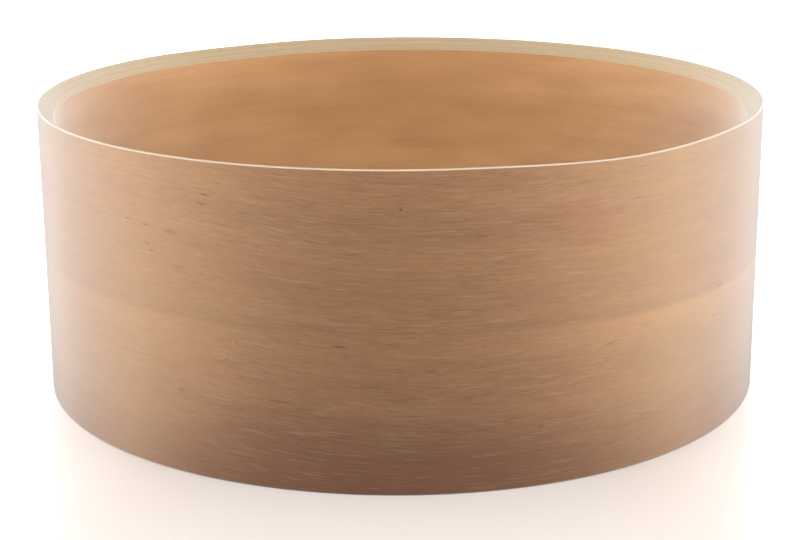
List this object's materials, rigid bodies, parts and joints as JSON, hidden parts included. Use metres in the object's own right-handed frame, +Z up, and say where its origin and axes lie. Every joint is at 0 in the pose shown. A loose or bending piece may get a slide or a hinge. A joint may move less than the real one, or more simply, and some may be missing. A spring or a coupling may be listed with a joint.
{
  "type": "snare drum shell",
  "caption": "Bare laminated wood snare drum shell with bevelled bearing edges and shallow snare beds in its upper rim.",
  "frame": {"origin": "centre of the circle that the shell stands on, at the level of its lower bearing edge", "axes": "+Z up along the shell's axis, from the batter edge to the snare-side edge; -Y towards the viewer of the picture; +X to the viewer's right"},
  "size_m": [0.3524, 0.3524, 0.1405],
  "materials": {
    "outer_veneer": "raw sanded maple veneer, grain round the shell",
    "long_grain_veneer": "raw core veneer, grain round the shell",
    "cross_grain_veneer": "raw core veneer, grain upright",
    "inner_veneer": "raw veneer, grain round the shell"
  },
  "bodies": {
    "root": {"outer_face_ply": "outer_veneer", "cross_grain_ply_2": "cross_grain_veneer", "long_grain_ply_3": "long_grain_veneer", "cross_grain_ply_4": "cross_grain_veneer", "long_grain_ply_5": "long_grain_veneer", "long_grain_ply_6": "long_grain_veneer", "cross_grain_ply_7": "cross_grain_veneer", "long_grain_ply_8": "long_grain_veneer", "cross_grain_ply_9": "cross_grain_veneer", "inner_face_ply": "inner_veneer"}
  },
  "joints": []
}
